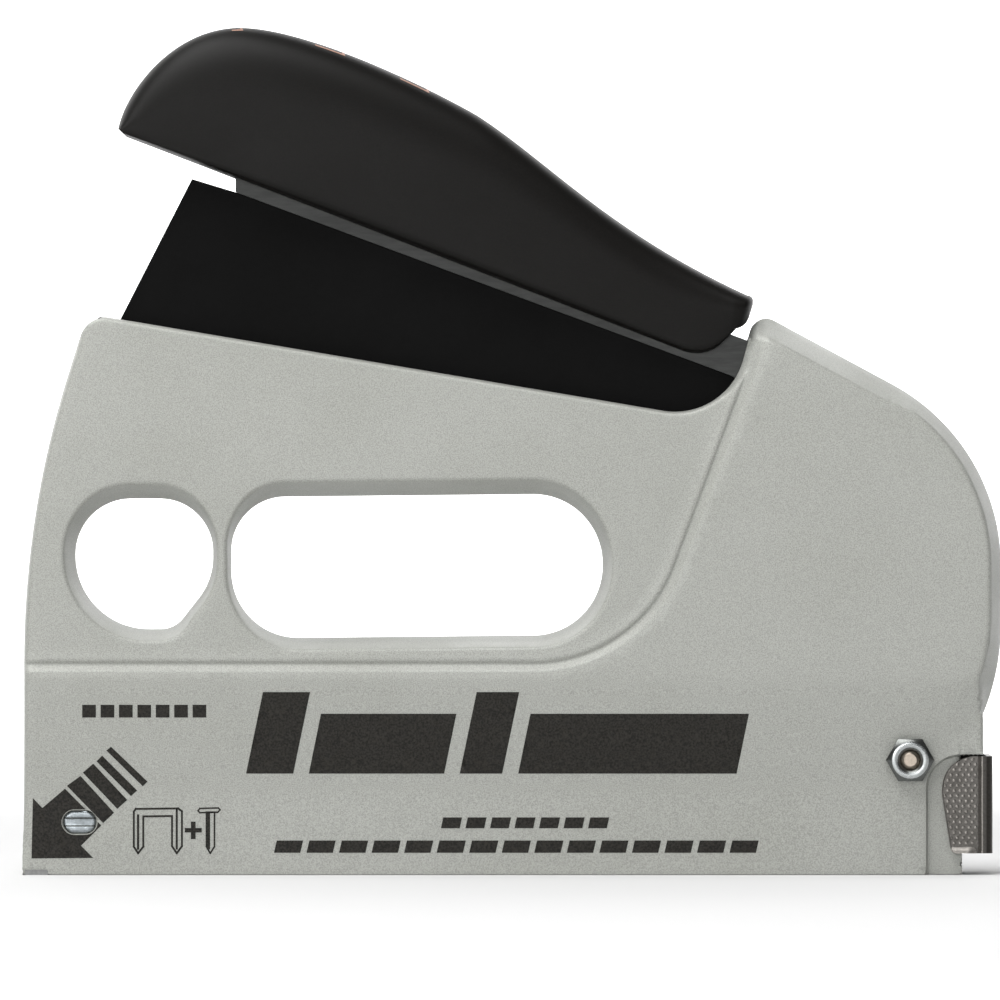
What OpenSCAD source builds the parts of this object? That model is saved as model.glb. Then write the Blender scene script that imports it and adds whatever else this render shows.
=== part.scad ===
// Forward-action hand staple gun. Millimetres.
// Nose at -X, rear at +X, base on z = 0, halves meet at y = 0.

/* [Body] */
// half width of the raised lower band and hump
face_w = 14; // [13.4:0.1:14.6]
// half width around the two finger openings
loop_w = 12.6; // [12:0.1:13]
// half width of the upright skirt along the base
base_w = 12.2; // [12:0.1:12.8]
// wall thickness of the castings
wall = 2.2; // [1.9:0.1:2.4]
// half width of the hollow above the magazine
hollow_w = 10.2; // [9.9:0.1:10.4]
// edge rounding of the hump
hump_round = 4; // [2.5:0.5:5]
// edge rounding around the finger loop
loop_round = 2.4; // [1.5:0.1:3]
// land left around each finger opening
rim = 2.4; // [2:0.1:2.5]

/* [Handle] */
// half width of the grip at its widest
grip_w = 14.2; // [12.5:0.1:15]
// half width of the handle channel
channel_w = 9; // [8.6:0.1:9.2]
// sheet thickness of the handle channel
channel_t = 1.6; // [1.2:0.1:1.8]
// sheet thickness of the guard
guard_t = 1; // [0.8:0.1:1.2]
// radius of the handle pivot pin
pivot_r = 4; // [3:0.25:4.5]

/* [Drive] */
// thickness of the lifting lever
lever_t = 5; // [3:0.5:5]
// radius of the lever pivot pin
lever_pin_r = 2.5; // [2:0.25:3]
// radius of the roller
roller_r = 4.5; // [4:0.1:4.5]
// wire thickness of the power spring
spring_wire = 3; // [2:0.25:3.25]
// outer radius of the power spring
spring_r = 8; // [7:0.25:8.5]
// turns of the power spring
spring_turns = 7; // [5:1:8]
// thickness of the striker blade
striker_t = 1.2; // [0.9:0.1:1.2]

/* [Magazine] */
// outside width of a staple's crown
crown_w = 10.6; // [10.4:0.05:10.8]
// staple leg length
leg = 10; // [6:1:10]
// staples in the strip
staples = 84; // [40:1:84]
// width of one staple along the strip
staple_pitch = 1.27; // [1.2:0.01:1.27]
// turns of the pusher spring
pusher_turns = 26; // [16:1:30]
// knurl pitch on the latch clip
knurl = 2; // [1.6:0.1:2.4]

/* [Hidden] */
$fn = 48;
fit = 0.05;                 // radial gap of a pin in a turning hole
seat = 0.02;                // radial gap of a pin in a fixed hole
eps = 0.01;
handle_pivot = [82.3, 92.2];
lever_pivot = [29.2, 66];
roller_at = [62.3, 86.9];
spring_x = 76;
spring_low = 35;
spring_high = 71;
bolt_at = [84.25, 24.4];
nose_screw_at = [-91.8, 11.2];
boss_at = [[-62.2, 45.6], [30, 38], [94, 58]];
rivet_at = [[-40, 143.2], [20, 120.6]];
tunnel_w = 7.4;             // half width of the magazine tunnel
tunnel_top = 26;
opening_w = 9.6;            // half width of the slot the handle closes into
blade_x = -99.8;            // front face of the striker
rod_z = 9;
rod_r = 1.5;
latch_x = 87.9;             // where the recess for the clip starts
nut_af = 8.73;
end_y = 15.4;               // outer face of nut and bolt head

// side outlines as corners [x, z, radius], counter-clockwise
body = [[-104.1, 0, 0], [95.5, 0, 0], [95.5, 25.3, 0], [100.2, 25.3, 0], [100.2, 33.6, 1.5],
        [104.1, 43.7, 50], [104.1, 91.7, 44], [51.9, 119.8, 3.5], [45.3, 96.2, 15],
        [-90.65, 119.1, 5.5], [-104.1, 76.1, 203]];
loop_part = [[-104.1, 30, 0], [48, 30, 0], [48, 95.8, 0], [-90.65, 119.1, 5.5], [-104.1, 76.1, 203]];
hump_part = [[22.2, 38, 0], [100.3, 33.6, 1], [104.1, 43.7, 40], [104.1, 91.7, 44], [51.9, 119.8, 3.5]];
hand_slot = [[-59.9, 50, 14.2], [19.2, 50.8, 14.8], [19.2, 80.9, 14.8], [-59.9, 80.1, 11.5]];
finger_hole = [[-93.1, 52, 15.6], [-71.5, 52, 3.5], [-63.8, 62.5, 14], [-63.8, 79.8, 11.3], [-93.1, 79.8, 11.8]];

function xy(p) = [p[0], p[1]];
function unit(v) = v / norm(v);
function arc_at(p, q, s, r) =
    let (a = unit(p - q), b = unit(s - q), half = acos(a * b) / 2, c = q + unit(a + b) * r / sin(half),
         u = q + a * r / tan(half) - c, v = q + b * r / tan(half) - c,
         from = atan2(u[1], u[0]), raw = atan2(v[1], v[0]) - from,
         sweep = raw > 180 ? raw - 360 : raw < -180 ? raw + 360 : raw,
         n = max(3, ceil(abs(sweep) / min(15, 2 * acos(1 - 0.08 / max(r, 0.2))))))
    [for (i = [0:n]) c + r * [cos(from + sweep * i / n), sin(from + sweep * i / n)]];
function at(p, i) = p[(i + len(p)) % len(p)];
function rounded(p) = [for (i = [0:len(p) - 1])
    each (p[i][2] > 0 ? arc_at(xy(at(p, i - 1)), xy(p[i]), xy(at(p, i + 1)), p[i][2]) : [xy(p[i])])];
// moves every side inwards by d, outwards when d is negative
function inset(p, d) = [for (i = [0:len(p) - 1])
    let (u = unit(xy(p[i]) - xy(at(p, i - 1))), v = unit(xy(at(p, i + 1)) - xy(p[i])),
         nu = [-u[1], u[0]], nv = [-v[1], v[0]], turn = u[0] * v[1] - u[1] * v[0],
         q = xy(p[i]) + (nu + nv) / (1 + nu * nv) * d)
    [q[0], q[1], p[i][2] > 0 ? max(0.2, p[i][2] - d * sign(turn)) : 0]];

// a side outline given thickness from y = -from to y = -to
module slab(from, to) translate([0, -from, 0]) rotate([90, 0, 0]) linear_extrude(to - from) children();
module side(p, from, to) slab(from, to) polygon(rounded(p));
// convex side outline whose outer edge is rounded off
module soft_side(p, w, r) hull() {
    side(p, 0, eps);
    for (a = [0:18:90]) side(inset(p, r * (1 - cos(a))), w - r * (1 - sin(a)) - eps, w - r * (1 - sin(a)));
}
module cross_pin(p, r, from, to) translate([p[0], from, p[1]]) rotate([-90, 0, 0]) cylinder(r = r, h = to - from);
module hex(p, af, from, to)
    translate([p[0], from, p[1]]) rotate([-90, 0, 0]) cylinder(r = af / sqrt(3), h = to - from, $fn = 6);
module box(lo, hi) translate(lo) cube(hi - lo);
// coil along z, grown from a round wire
module coil(mean, wire, height, turns, per_turn, sides) {
    n = turns * per_turn;
    rise = (height - wire) / n;
    polyhedron(
        points = [for (i = [0:n], j = [0:sides - 1])
            let (a = 360 * i / per_turn, b = 360 * j / sides, r = mean + wire / 2 * cos(b))
            [r * cos(a), r * sin(a), wire / 2 + rise * i + wire / 2 * sin(b)]],
        faces = concat([[for (j = [0:sides - 1]) j]], [[for (j = [sides - 1:-1:0]) n * sides + j]],
            [for (i = [0:n - 1], j = [0:sides - 1])
                [i * sides + j, (i + 1) * sides + j, (i + 1) * sides + (j + 1) % sides, i * sides + (j + 1) % sides]]));
}

// ---- housing ----
module band() {
    // section of the lower band: upright skirt, then a slow flare, then a soft step
    translate([-104.1, 0, 0]) rotate([90, 0, 90]) linear_extrude(199.6)
        polygon([[0, 0], [0, 45.3], [-loop_w, 45.3], [-face_w + 0.5, 44.6], [-face_w, 43], [-face_w, 41],
                 [-base_w, 17.2], [-base_w, 0]]);
    // fillet between band and hump
    side([[24.9, 45.3, 33], [-8, 45.3, 0], [-8, 38, 0], [40, 38, 0], [40, 86.1, 0]], 0, face_w);
    // sweep from the loop's top edge up to the hump
    side([[45.3, 96.2, 14.5], [32.2, 98.3, 0], [31, 90, 0], [56, 90, 0], [56, 110, 0], [49.2, 110.5, 0]], 0, loop_w - 0.3);
}
module half_body() {
    difference() {
        union() {
            soft_side(loop_part, loop_w, loop_round);
            soft_side(hump_part, face_w, hump_round);
            band();
            box([40, -base_w, 0], [95.5, 0, 30]);
        }
        // hollow above the magazine, around the walls of the openings
        difference() {
            side(inset(body, wall), -eps, hollow_w);
            side(inset(hand_slot, -rim), -1, face_w);
            side(inset(finger_hole, -rim), -1, face_w);
            box([-110, -20, -1], [110, 1, tunnel_top]);
            for (p = boss_at) cross_pin(p, 3.6, -hollow_w - 1, 0);
            cross_pin(lever_pivot, 5.5, -hollow_w - 1, -4);
            box([63, -hollow_w - 1, tunnel_top - 1], [89, 0, 30.4]);
        }
        box([-101.9, -tunnel_w, wall], [95.6, eps, tunnel_top + eps]);
        side(hand_slot, -1, 20);
        side(finger_hole, -1, 20);
        // slot that the guard and the handle close into
        side([[-87, 90.5, 0], [52.5, 90.5, 0], [52.5, 115.3, 0], [44, 122, 0], [-87, 122, 0]], -eps, opening_w);
        // striker groove and the seat of the nose plate's foot
        box([-100.2, -5.6, -1], [-98.2, eps, 80]);
        box([-103.5, -20, -1], [-98.4, eps, 1.3]);
        box([-102.6, -tunnel_w, -1], [-98.4, eps, 3]);
        // recess that the latch clip's arm lies in
        side([[latch_x, -1, 0], [110, -1, 0], [110, 25.3, 0], [latch_x, 25.3, 7]], 10.2, 20);
        cross_pin(handle_pivot, pivot_r + seat, -face_w + 1.2, 1);
        cross_pin(lever_pivot, lever_pin_r + seat, -hollow_w - 1.4, 1);
        cross_pin(bolt_at, 2.1 + seat, -20, 1);
        cross_pin(bolt_at, 5.2, -20, -base_w);
        // oval recess of the nose screw
        hull() for (x = [-1.1, 1.1]) cross_pin([nose_screw_at[0] + x, nose_screw_at[1]], 2.45, -20, -11);
        cross_pin(nose_screw_at, 1.6 + seat, -20, -tunnel_w - 1);
    }
}
module left_housing() color("#b5b6b0") difference() {
    half_body();
    for (p = boss_at) cross_pin(p, 1.5 + seat, -hollow_w, 1);
}
module right_housing() color("#b5b6b0") difference() {
    mirror([0, 1, 0]) half_body();
    for (p = boss_at) {
        cross_pin(p, 1.5 + seat, -1, 20);
        cross_pin(p, 3.2, 10.8, 20);
    }
}
module nose_guide_plate() color("#4a4b4c") difference() {
    union() {
        box([-101.4, -7, wall], [-100.3, 7, 55]);
        box([-103.4, -base_w + 0.2, 0], [-98.5, base_w - 0.2, 1.2]);
        box([-101.4, -7, 1.1], [-100.3, 7, wall + 0.1]);
    }
    box([-100.1, -5.5, -1], [-98.3, 5.5, 3]);
}
module nose_screws() color("#c9ccce") for (s = [0, 180]) translate([nose_screw_at[0], 0, nose_screw_at[1]])
    rotate([0, 0, s]) difference() {
        union() {
            cross_pin([0, 0], 1.6, -11.1, -tunnel_w - 1.2);
            hull() for (x = [-1.1, 1.1]) cross_pin([x, 0], 2.38, -11.8, -11.02);
        }
        box([-4, -13, -0.8], [4, -11.35, 0.8]);
    }
module housing_screws() color("#8d9092") for (p = boss_at) difference() {
    union() {
        cross_pin(p, 1.5, -9, 11);
        cross_pin(p, 3, 10.82, 12.4);
    }
    hex(p, 2.2, 11.4, 13);
}
module rear_bolt() color("#b9b4a6") difference() {
    union() {
        cross_pin(bolt_at, 2.1, -end_y + 0.9, 13);
        cross_pin(bolt_at, 4, base_w + 0.02, end_y);
        translate([bolt_at[0], -end_y + 0.9, bolt_at[1]]) rotate([90, 0, 0]) cylinder(r1 = 2.1, r2 = 1.3, h = 0.8);
    }
    box([bolt_at[0] - 5, end_y - 1.1, bolt_at[1] - 0.5], [bolt_at[0] + 5, 20, bolt_at[1] + 0.5]);
}
module rear_hex_nut() color("#a5a8aa") difference() {
    hex(bolt_at, nut_af, -end_y, -base_w - 0.02);
    cross_pin(bolt_at, 2.1 + seat, -20, 0);
}
module handle_pivot_pin() color("#8d9092") cross_pin(handle_pivot, pivot_r, -face_w + 1.3, face_w - 1.3);
module lever_pivot_pin() color("#8d9092") cross_pin(lever_pivot, lever_pin_r, -hollow_w - 1.3, hollow_w + 1.3);
module lever_bumper() color("#2a2a2a") box([-44, -5.5, 82.9], [-24, 5.5, 86.2]);

// ---- handle ----
grip_top = [[-83.4, 158.4], [-82.5, 165.2], [-72.2, 180.2], [-57.5, 180.3], [-45, 180.3], [-24, 170], [-8, 161.3],
            [7, 152], [20, 136.5], [49.6, 123.2]];
function bezier(a, b, c, d, t) =
    a * pow(1 - t, 3) + b * 3 * t * pow(1 - t, 2) + c * 3 * t * t * (1 - t) + d * pow(t, 3);
function top_at(t) = let (s = min(2, floor(t * 3)), u = t * 3 - s)
    bezier(grip_top[3 * s], grip_top[3 * s + 1], grip_top[3 * s + 2], grip_top[3 * s + 3], u);
function low_at(t) = let (x = -82.3 + 131.5 * t) [x, 157 - 0.3889 * (x + 82.3) + 6.2 * pow(max(0, t - 0.9) * 10, 2)];
function half_w(t) = grip_w * (0.72 + 0.28 * sin(min(90, 70 + 560 * t))) - 2.6 * pow(max(0, t - 0.35) / 0.65, 1.5);
function power(v, e) = sign(v) * pow(abs(v), e);
module grip_body() {
    rings = 30;
    n = 28;
    polyhedron(
        points = [for (i = [0:rings], j = [0:n - 1])
            let (t = pow(i / rings, 1.35), a = 360 * (j + 0.5) / n, top = top_at(t), low = low_at(t),
                 mid = (top + low) / 2, up = (top - low) / 2, v = power(sin(a), sin(a) > 0 ? 0.75 : 0.4))
            [mid[0] + up[0] * v, half_w(t) * power(cos(a), 0.55), mid[1] + up[1] * v]],
        faces = concat([[for (j = [0:n - 1]) j]], [[for (j = [n - 1:-1:0]) rings * n + j]],
            [for (i = [0:rings - 1], j = [0:n - 1])
                [i * n + j, (i + 1) * n + j, (i + 1) * n + (j + 1) % n, i * n + (j + 1) % n]]));
}
// side outline of the channel: straight under the grip, then arms down to the pivot
channel_side = [[-58.8, 144.9, 0], [47.3, 105.6, 6], [57, 96, 8], [57.5, 80.6, 4], [72, 80.6, 6], [88.4, 86.2, 6],
                [88.4, 97.4, 6], [66, 106, 6], [49.5, 113.5, 12], [-58.8, 153.7, 3]];
module handle_channel() color("#343633") difference() {
    side(channel_side, -channel_w, channel_w);
    // inside of the channel, open below and behind the grip
    side([[-70, 120, 0], [110, 60, 0], [110, 118, 0], [50.5, 118, 0], [50.5, 111.4, 0], [-70, 156.1, 0]],
        -channel_w + channel_t, channel_w - channel_t);
    cross_pin(handle_pivot, pivot_r + fit, -20, 20);
    cross_pin(roller_at, 2 + seat, -20, 20);
    for (p = rivet_at) cross_pin(p, 1.8 + seat, -20, 20);
}
module grip() color("#252523") difference() {
    grip_body();
    slab(-channel_w - 0.03, channel_w + 0.03)
        polygon([[-59, 150.5 - 8], [60, 106 - 8], [60, 109.3], [50, 113.4], [-58.7, 153.8], [-59, 153.6]]);
    side([[-69, 146.8, 0], [-50, 139, 0], [-50, 147, 0], [-66, 153.2, 0]], -channel_w, channel_w);
}
guard_side = [[-68.1, 147.7, 0], [-84.6, 115.4, 0], [47.5, 92.3, 4], [49.5, 105, 0], [49.5, 108.5, 0], [-57, 147.9, 0],
              [-58.4, 144.75, 0]];
module pinch_guard() color("#151515") difference() {
    union() {
        for (s = [-1, 1]) translate([0, s * (channel_w - channel_t - 0.05) + (s > 0 ? 0 : guard_t), 0]) side(guard_side, 0, guard_t);
        // front web between the two sides
        side([[-68.1, 147.7, 0], [-84.6, 115.4, 0], [-83.5, 115.2, 0], [-67, 147.3, 0]],
            -channel_w + channel_t + 0.1, channel_w - channel_t - 0.1);
    }
    box([-95, -3.6, 100], [-60, 3.6, 138]);
    for (p = rivet_at) cross_pin(p, 1.8 + seat, -20, 20);
}
module channel_rivets() color("#8d9092") for (p = rivet_at) cross_pin(p, 1.8, -channel_w + 0.02, channel_w - 0.02);
module roller_pin() color("#8d9092") cross_pin(roller_at, 2, -channel_w - 0.6, channel_w + 0.6);
module handle_roller() color("#a5a8aa") difference() {
    cross_pin(roller_at, roller_r, -5, 5);
    cross_pin(roller_at, 2 + fit, -20, 20);
}

// ---- drive ----
lever_side = [[-98.3, 55.5, 0], [-95.9, 55.5, 0], [-95.9, 66, 0], [-95.4, 72, 0], [-92.4, 79, 0], [-87.5, 84.6, 0],
              [-82, 86.6, 4], [20, 86.6, 6], [24.6, 76, 4], [23.4, 66, 0], [25, 61.6, 0], [29.2, 60.2, 3],
              [34, 61.6, 2], [42, 73.3, 6], [86, 73.3, 3], [86, 81.95, 2], [44, 81.95, 6], [33, 92.6, 6],
              [-88, 92.6, 6], [-93, 88, 0], [-96, 80, 0], [-97.6, 72, 0], [-98.3, 66, 0]];
module lifting_lever() color("#6f7274") difference() {
    union() {
        side(lever_side, -lever_t / 2, lever_t / 2);
        box([-99.7, -2.5, 55.5], [-98, 2.5, 58.5]);
    }
    cross_pin(lever_pivot, 3.5 + seat, -20, 20);
}
module lever_bushing() color("#b08d4a") difference() {
    cross_pin(lever_pivot, 3.5, -3.6, 3.6);
    cross_pin(lever_pivot, lever_pin_r + fit, -20, 20);
}
module spring_cap() color("#8d9092") translate([spring_x, 0, 71]) difference() {
    cylinder(r = spring_r + 0.4, h = 2);
    translate([0, 0, -1]) cylinder(r = 2, h = 5);
}
module spring_seat() color("#8d9092") translate([spring_x, 0, 30.45]) difference() {
    cylinder(r = spring_r + 1.6, h = 6);
    translate([0, 0, 4.4]) cylinder(r = spring_r + 0.3, h = 5);
    translate([0, 0, -1]) cylinder(r = 3, h = 9);
}
module power_spring() color("#5a5d60") translate([spring_x, 0, spring_low])
    coil(spring_r - spring_wire / 2, spring_wire, spring_high - spring_low - 0.1, spring_turns, 24, 8);
module striker_blade() color("#7d8083") difference() {
    box([blade_x, -5.2, 0.4], [blade_x + striker_t, 5.2, 62.5]);
    box([blade_x - 1, -2.9, 55], [blade_x + 3, 2.9, 59.2]);
}

// ---- magazine ----
mag_front = -98;
module magazine_channel() color("#6b6e70") difference() {
    box([mag_front, -6.8, wall + 0.2], [94.8, 6.8, 17]);
    box([mag_front - 1, -6, 0], [96, 6, 16.2]);
}
module staple_rail() color("#7d8083") difference() {
    box([mag_front + 0.2, -4.6, wall + 0.3], [82, 4.6, 14.6]);
    box([mag_front - 1, -3.9, 0], [96, 3.9, 13.8]);
    box([-84, -1.3, 10], [96, 1.3, 16]);
}
strip_end = mag_front - 0.2 + staples * staple_pitch;
module staple_strip() color("#b4b8ba") difference() {
    box([mag_front - 0.2, -crown_w / 2, 15.6 - leg], [strip_end, crown_w / 2, 15.6]);
    box([mag_front - 1, -crown_w / 2 + 0.5, 0], [strip_end + 1, crown_w / 2 - 0.5, 15.1]);
}
follow_x = mag_front + 0.1 + 84 * 1.27 + 0.2;
module follower() color("#5b5e60") difference() {
    union() {
        box([follow_x, -5.7, 8], [follow_x + 12, 5.7, 16]);
        box([follow_x, -1.1, 12], [follow_x + 8, 1.1, 15]);
        box([follow_x, -3.6, 4], [follow_x + 8, 3.6, 12.9]);
    }
    difference() {
        box([follow_x - 1, -4.8, 7], [follow_x + 13, 4.8, 14.9]);
        box([follow_x - 2, -1.1, 7], [follow_x + 8, 1.1, 16]);
        box([follow_x - 2, -3.6, 4], [follow_x + 8, 3.6, 12.9]);
    }
    translate([0, 0, rod_z]) rotate([0, 90, 0]) cylinder(r = rod_r + fit, h = 300, center = true);
}
module rod(r, from, to) translate([from, 0, rod_z]) rotate([0, 90, 0]) cylinder(r = r, h = to - from);
module pusher_rod() color("#9a9da0") rod(rod_r, -84, 99);
module rod_stop_ring() color("#3c3e40") difference() {
    rod(2.6, -83.5, -82.3);
    rod(rod_r + seat, -90, -80);
}
module pusher_spring() color("#8b8e90") translate([follow_x + 8.2, 0, rod_z]) rotate([0, 90, 0])
    coil(2.8, 0.8, 84 - follow_x - 8.4, pusher_turns, 12, 6);
module rod_block() color("#6b6e70") difference() {
    box([84, -5.6, wall + 0.6], [95.3, 5.6, 15.8]);
    rod(rod_r + seat, 80, 100);
}
module latch_cap() color("#1d1d1d") difference() {
    box([95.8, -9, 5.2], [100.6, 9, 20]);
    rod(rod_r + seat, 80, 110);
}
clip_side = [[94.4, 4.5, 0], [101.9, 4.9, 0], [101.9, 25.2, 0], [91.2, 25.2, 7], [91.1, 17, 4], [93.1, 4.5, 1.2]];
module latch_clip() color("#7d7a77") {
    difference() {
        side(clip_side, -11.5, 11.5);
        box([80, -10.3, 0], [100.7, 10.3, 30]);
    }
    for (s = [-1, 1], i = [0:floor(5.5 / knurl)], j = [0:floor(16 / knurl)])
        translate([93.6 + (i + (j % 2) / 2) * knurl, s * 11.4, 6.6 + j * knurl])
            rotate([-90 * s, 0, 0]) cylinder(r1 = knurl * 0.36, r2 = 0.3, h = 0.4, $fn = 16);
}

left_housing();
right_housing();
nose_guide_plate();
nose_screws();
housing_screws();
rear_bolt();
rear_hex_nut();
handle_pivot_pin();
lever_pivot_pin();
lever_bumper();
grip();
handle_channel();
pinch_guard();
channel_rivets();
roller_pin();
handle_roller();
lifting_lever();
lever_bushing();
spring_cap();
spring_seat();
power_spring();
striker_blade();
magazine_channel();
staple_rail();
staple_strip();
follower();
pusher_rod();
rod_stop_ring();
pusher_spring();
rod_block();
latch_cap();
latch_clip();
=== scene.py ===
import math

import bmesh
import bpy
import numpy as np
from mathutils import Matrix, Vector
from mathutils.geometry import delaunay_2d_cdt


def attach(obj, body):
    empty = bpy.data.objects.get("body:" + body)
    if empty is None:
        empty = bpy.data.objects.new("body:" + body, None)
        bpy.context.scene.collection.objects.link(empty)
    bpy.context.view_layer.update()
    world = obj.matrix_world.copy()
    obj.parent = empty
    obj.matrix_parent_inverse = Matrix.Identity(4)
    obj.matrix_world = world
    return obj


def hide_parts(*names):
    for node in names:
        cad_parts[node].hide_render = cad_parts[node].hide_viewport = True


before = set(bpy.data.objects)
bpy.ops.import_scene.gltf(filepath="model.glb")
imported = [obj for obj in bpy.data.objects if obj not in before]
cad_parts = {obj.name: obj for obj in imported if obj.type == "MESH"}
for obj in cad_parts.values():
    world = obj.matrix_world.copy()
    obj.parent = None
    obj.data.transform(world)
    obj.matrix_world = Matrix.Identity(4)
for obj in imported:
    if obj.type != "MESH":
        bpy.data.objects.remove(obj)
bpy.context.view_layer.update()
MM = 0.001
SIDES = {"left": -1.0, "right": 1.0}

# ------------------------------------------------------------------ sizes, mm
# half widths: raised face, loop round the openings, base band, handle's slot, magazine's mouth
FACE_W, LOOP_W, BASE_W, OPEN_W, TUNNEL_W = 14.0, 12.6, 12.2, 9.6, 7.4
# outlines in the side view, corners as x, z, radius
BODY = [(-104.1, 0, 0), (95.5, 0, 0), (95.5, 25.3, 0.3), (100.2, 25.3, 0.6), (100.2, 33.6, 1.5),
        (104.1, 43.7, 50), (104.1, 91.7, 44), (51.9, 119.8, 3.5), (45.3, 96.2, 15), (-90.65, 119.1, 5.5),
        (-104.1, 76.1, 203)]
HAND_SLOT = [(-59.9, 50, 14.2), (19.2, 50.8, 14.8), (19.2, 80.9, 14.8), (-59.9, 80.1, 11.5)]
FINGER_HOLE = [(-93.1, 52, 15.6), (-72.0, 52, 6), (-63.8, 62.5, 14), (-63.8, 79.8, 11.3), (-93.1, 79.8, 11.8)]
PROUD = [(-130, -30, 0), (130, -30, 0), (130, 150, 0), (66.9, 150, 0), (27.3, 44.0, 33), (-130, 44.0, 0)]
CLIP_RECESS = [(87.9, -20, 0), (130, -20, 0), (130, 25.3, 0), (87.9, 25.3, 7)]
CLIP = [(94.4, 4.5, 0), (101.9, 4.9, 0), (101.9, 25.2, 0), (91.2, 25.2, 7), (91.1, 17, 4), (93.1, 4.5, 1.2)]
BOLT_AT, SCREW_AT = (84.25, 24.4), (-91.8, 11.2)
WINDOW_R, WINDOW_HALF, WINDOW_FLOOR = 2.36, 1.1, 1.25  # oval window of the nose screw
COUNTERBORE_R, COUNTERBORE_FLOOR = 3.05, 10.8  # screw seats on the far side
RECESS_W, RIM_STEP = 10.2, 0.3
BOSSES = [(-62.2, 45.6), (30, 38), (94, 58)]
NOSE_STEP_X, NOSE_STEP_Z, NOSE_STEP_DEPTH = -98.45, 1.25, 0.9  # where the nose steel shows
# the hump's top front corner, how far from it the face is evened out, and over which reach
HUMP_CORNER, EASE_FULL, EASE_END, EASE_RINGS = (52.6, 117.0), 4.5, 7.0, (0.4, 0.8, 1.2)


# ------------------------------------------------------------------ outlines
def rounded(corners, gap=0.9):
    """Corner list [x, z, radius] to a closed loop of points, evenly spaced."""
    out = []
    n = len(corners)
    for i, (x, z, r) in enumerate(corners):
        q = np.array([x, z], float)
        if r <= 0:
            out.append(q)
            continue
        a = np.array(corners[i - 1][:2], float) - q
        b = np.array(corners[(i + 1) % n][:2], float) - q
        a /= np.linalg.norm(a)
        b /= np.linalg.norm(b)
        half = math.acos(float(a @ b)) / 2
        c = q + (a + b) / np.linalg.norm(a + b) * r / math.sin(half)
        u, v = q + a * r / math.tan(half) - c, q + b * r / math.tan(half) - c
        a0, a1 = math.atan2(u[1], u[0]), math.atan2(v[1], v[0])
        sweep = (a1 - a0 + math.pi) % (2 * math.pi) - math.pi
        steps = max(5, int(abs(sweep) * r / gap), int(abs(sweep) / math.radians(9)))
        for k in range(steps + 1):
            t = a0 + sweep * k / steps
            out.append(c + r * np.array([math.cos(t), math.sin(t)]))
    return fill(np.array(out), gap)


def fill(loop, gap, closed=True):
    """Adds points along long sides."""
    out = []
    n = len(loop)
    for i in range(n if closed else n - 1):
        p, q = loop[i], loop[(i + 1) % n]
        steps = max(1, int(round(np.linalg.norm(q - p) / gap)))
        out += [p + (q - p) * k / steps for k in range(steps)]
    if not closed:
        out.append(loop[-1])
    return np.array(out)


def normals_in(loop):
    """Unit normals to the left of the walk, which is inwards on a counter-clockwise loop."""
    t = np.roll(loop, -1, 0) - np.roll(loop, 1, 0)
    t /= np.maximum(np.linalg.norm(t, axis=1, keepdims=True), 1e-9)
    return np.stack([-t[:, 1], t[:, 0]], 1)


def away(p, loop, closed=True, which=False):
    """Distance from each point of p to the line through loop, and the nearest part of the line."""
    a = loop if closed else loop[:-1]
    b = np.roll(loop, -1, 0) if closed else loop[1:]
    d = b - a
    ll = np.maximum((d ** 2).sum(1), 1e-12)
    best = np.full(len(p), 1e9)
    part = np.zeros(len(p), int)
    for k in range(0, len(p), 2000):
        q = p[k:k + 2000, None, :]
        t = np.clip(((q - a) * d).sum(2) / ll, 0, 1)
        far = np.sqrt(((q - a - t[..., None] * d) ** 2).sum(2))
        part[k:k + 2000] = far.argmin(1)
        best[k:k + 2000] = far.min(1)
    return (best, part) if which else best


def within(p, loop):
    x, z = p[:, 0:1], p[:, 1:2]
    a, b = loop, np.roll(loop, -1, 0)
    cross = (a[:, 1] > z) != (b[:, 1] > z)
    with np.errstate(divide="ignore", invalid="ignore"):
        at = (b[:, 0] - a[:, 0]) * (z - a[:, 1]) / (b[:, 1] - a[:, 1]) + a[:, 0]
    return (cross & (x < at)).sum(1) % 2 == 1


def signed(p, loop):
    """Distance, positive inside the loop."""
    return away(p, loop) * np.where(within(p, loop), 1.0, -1.0)


def ramp(v, lo, hi):
    t = np.clip((v - lo) / (hi - lo), 0, 1)
    return t * t * (3 - 2 * t)


def open_to(p):
    """How far in the rim reaches at a point of the outline: 0 where the halves meet."""
    x, z = p
    if -87 < x < 50.3 and z > 90:
        return OPEN_W
    if x > 95 and 2.2 < z < 17.2:
        return TUNNEL_W
    return 0.0


body_loop, slot_loop, hole_loop = rounded(BODY), rounded(HAND_SLOT, 0.7), rounded(FINGER_HOLE, 0.7)
proud_loop = rounded(PROUD, 1.5)
recess_loop = rounded(CLIP_RECESS, 1.5)


# ------------------------------------------------------------------ the casting's outer face
def smooth(v, reach):
    """Running mean round a closed loop."""
    return sum(np.roll(v, k) for k in range(-reach, reach + 1)) / (2 * reach + 1)


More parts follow.
